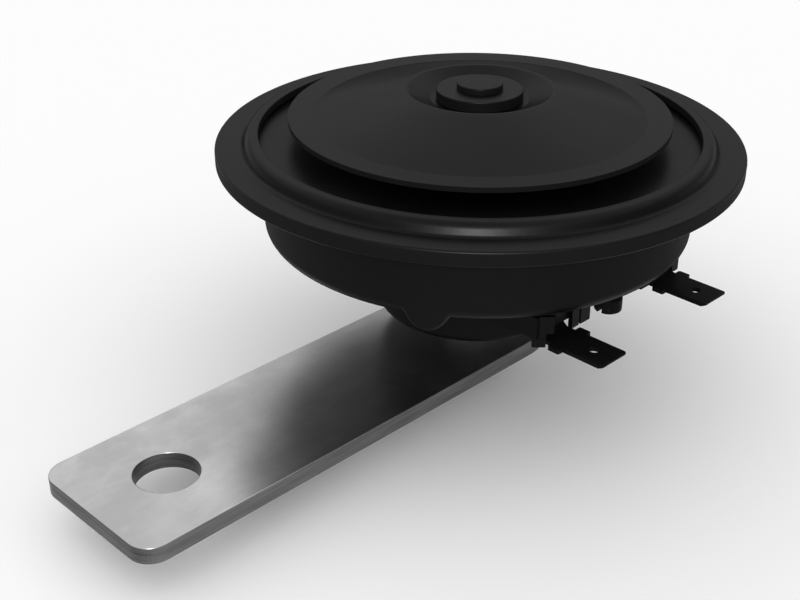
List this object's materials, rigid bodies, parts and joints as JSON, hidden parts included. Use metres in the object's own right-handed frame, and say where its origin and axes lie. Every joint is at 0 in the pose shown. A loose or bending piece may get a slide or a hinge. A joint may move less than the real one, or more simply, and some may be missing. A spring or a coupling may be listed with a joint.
{
  "type": "car horn",
  "caption": "Electric disc horn: a ribbed rear housing, rolled front ring, vibrating tone disc, spade terminals and a flat mounting bar.",
  "frame": {"origin": "middle of the bar's fixing hole, on the bar's underside", "axes": "+X along the bar towards the horn, +Z along the fixing hole and the horn's own axis, towards the tone disc, so the spade blades point along -Y"},
  "size_m": [0.1322, 0.0932, 0.056],
  "materials": {
    "zinc_plate": "satin zinc plate, slightly mottled",
    "black_paint": "satin black paint",
    "gasket_paper": "pressed gasket paper",
    "spring_steel": "bright spring steel",
    "soft_steel": "plain turned steel",
    "fibre": "vulcanised fibre",
    "moulded_board": "black moulding",
    "bobbin_moulding": "natural moulding",
    "copper_wire": "enamelled copper",
    "blade_dark": "brass under the same black paint",
    "brass": "plain brass",
    "contact_metal": "hard contact metal",
    "lead_sleeve": "dark sleeve"
  },
  "bodies": {
    "horn_body": {"bracket_bar": "zinc_plate", "seat_nut": "zinc_plate", "lock_washer": "zinc_plate", "bracket_nut": "zinc_plate", "rear_housing": "black_paint", "front_ring": "black_paint", "lower_gasket": "gasket_paper", "upper_gasket": "gasket_paper", "diaphragm": "black_paint", "magnet_core": "soft_steel", "coil_retainer": "spring_steel", "coil_bobbin": "bobbin_moulding", "coil_winding": "copper_wire", "terminal_board": "moulded_board", "terminal_blade_left": "blade_dark", "terminal_blade_right": "blade_dark", "terminal_rivets": "brass", "inner_insulators": "fibre", "solder_tags": "brass", "adjuster_screw": "black_paint", "adjuster_nut": "black_paint", "breaker_carrier": "spring_steel", "carrier_rivets": "soft_steel", "breaker_spring": "spring_steel", "breaker_fixed_arm": "spring_steel", "breaker_insulators": "fibre", "breaker_rivet": "soft_steel", "moving_contact": "contact_metal", "fixed_contact": "contact_metal", "coil_lead_to_tag": "lead_sleeve", "coil_lead_to_breaker": "lead_sleeve", "breaker_lead_to_tag": "lead_sleeve"},
    "vibrator": {"tone_disc": "black_paint", "clamp_washer": "black_paint", "tone_disc_spacer": "soft_steel", "armature_stud": "black_paint", "armature": "soft_steel", "breaker_pusher": "fibre"}
  },
  "joints": [
    {"name": "disc_stroke", "type": "slide", "parent": "horn_body", "child": "vibrator", "axis": [0, 0, 1], "range_m": [-0.0004, 0.0004], "stiffness_N_per_m": 8000, "deforming": ["diaphragm", "breaker_spring"]}
  ]
}
